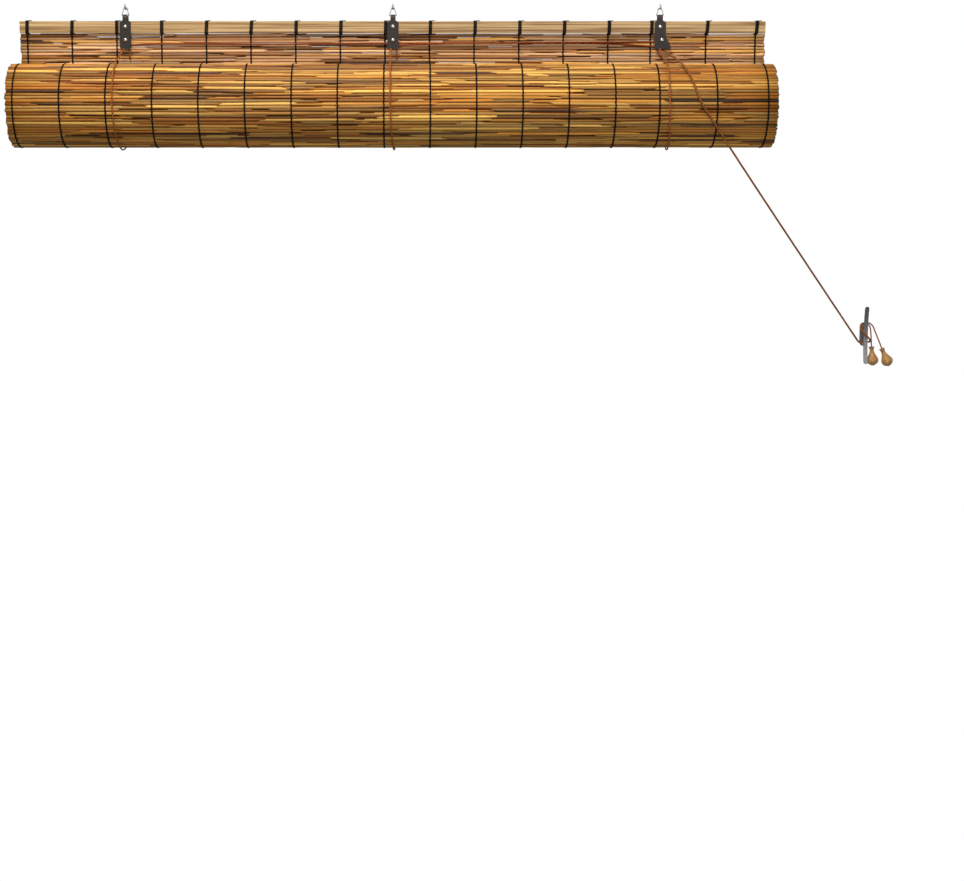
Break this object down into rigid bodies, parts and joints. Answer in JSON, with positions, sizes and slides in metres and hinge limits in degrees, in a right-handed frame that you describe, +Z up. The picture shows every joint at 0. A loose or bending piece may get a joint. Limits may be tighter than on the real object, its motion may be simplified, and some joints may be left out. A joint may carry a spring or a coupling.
{
  "type": "reed roll-up blind",
  "caption": "Reed mat blind rolled up under a wooden headrail, hung from screw hooks, with lift cords over pulleys and a wall cleat.",
  "frame": {"origin": "where the middle screw hook enters the wall, on the hook's axis", "axes": "X along the blind to the right as seen from the room, Y from the room into the wall with the wall face at zero, Z up"},
  "size_m": [1.662, 0.1934, 0.687],
  "materials": {
    "headrail_wood": "satin",
    "reed_flat": "matte",
    "reed_roll": "satin",
    "binding_thread": "matte",
    "bright_steel": "satin",
    "grey_paint": "satin",
    "bracket_paint": "satin",
    "pulley_plastic": "matte",
    "twisted_cord": "matte",
    "pull_wood": "satin"
  },
  "bodies": {
    "wall_fixings": {"hook_left": "bright_steel", "hook_middle": "bright_steel", "hook_right": "bright_steel", "ring_left": "bright_steel", "ring_middle": "bright_steel", "ring_right": "bright_steel", "cleat": "grey_paint", "cleat_screws": "bright_steel", "draw_cord": "twisted_cord", "cleat_winding": "twisted_cord", "tail_cord_long": "twisted_cord", "tail_cord_short": "twisted_cord", "pull_long": "pull_wood", "pull_short": "pull_wood"},
    "head": {"headrail": "headrail_wood", "rail_wraps": "binding_thread", "flat_mat": "reed_flat", "flat_threads": "binding_thread", "bracket_left": "bracket_paint", "bracket_middle": "bracket_paint", "bracket_right": "bracket_paint", "rivets_left": "bright_steel", "rivets_middle": "bright_steel", "rivets_right": "bright_steel", "pulley_pin_left": "bright_steel", "pulley_pin_middle": "bright_steel", "pulley_pin_right": "bright_steel", "cross_cord_left": "twisted_cord", "cross_cord_middle": "twisted_cord", "cross_cord_right": "twisted_cord", "lift_cord_left_front": "twisted_cord", "lift_cord_left_back": "twisted_cord", "lift_cord_middle_front": "twisted_cord", "lift_cord_middle_back": "twisted_cord", "lift_cord_right_front": "twisted_cord", "lift_cord_right_back": "twisted_cord"},
    "carriage": {"lift_cord_left_loop": "twisted_cord", "lift_cord_middle_loop": "twisted_cord", "lift_cord_right_loop": "twisted_cord"},
    "roll": {"rolled_mat": "reed_roll", "roll_threads": "binding_thread"},
    "pulley_left": {"pulley_left": "pulley_plastic"},
    "pulley_middle": {"pulley_middle": "pulley_plastic"},
    "pulley_right": {"pulley_right": "pulley_plastic"}
  },
  "joints": [
    {"name": "head_swing", "type": "hinge", "parent": "wall_fixings", "child": "head", "pos_m": [0, -0.01045, -0.0133], "axis": [-1, 0, 0], "range_deg": [0, 20]},
    {"name": "roll_lower", "type": "slide", "parent": "head", "child": "carriage", "axis": [0, 0, -1], "range_m": [0, 1.4443], "deforming": ["flat_mat", "flat_threads", "lift_cord_left_front", "lift_cord_left_back", "lift_cord_middle_front", "lift_cord_middle_back", "lift_cord_right_front", "lift_cord_right_back", "draw_cord"]},
    {"name": "roll_turn", "type": "hinge", "parent": "carriage", "child": "roll", "pos_m": [0, -0.0855, -0.1792], "axis": [1, 0, 0], "continuous": true},
    {"name": "pulley_left_turn", "type": "hinge", "parent": "head", "child": "pulley_left", "pos_m": [-0.502, -0.0128, -0.0682], "axis": [0, 1, 0], "continuous": true},
    {"name": "pulley_middle_turn", "type": "hinge", "parent": "head", "child": "pulley_middle", "pos_m": [0, -0.0128, -0.0682], "axis": [0, 1, 0], "continuous": true},
    {"name": "pulley_right_turn", "type": "hinge", "parent": "head", "child": "pulley_right", "pos_m": [0.5059, -0.0128, -0.0682], "axis": [0, 1, 0], "continuous": true}
  ],
  "couplings": [
    {"joint": "roll_turn", "follows": "roll_lower", "rad_per_m": 12.715},
    {"joint": "pulley_left_turn", "follows": "roll_lower", "rad_per_m": 493.83},
    {"joint": "pulley_middle_turn", "follows": "roll_lower", "rad_per_m": 493.83},
    {"joint": "pulley_right_turn", "follows": "roll_lower", "rad_per_m": 493.83}
  ]
}
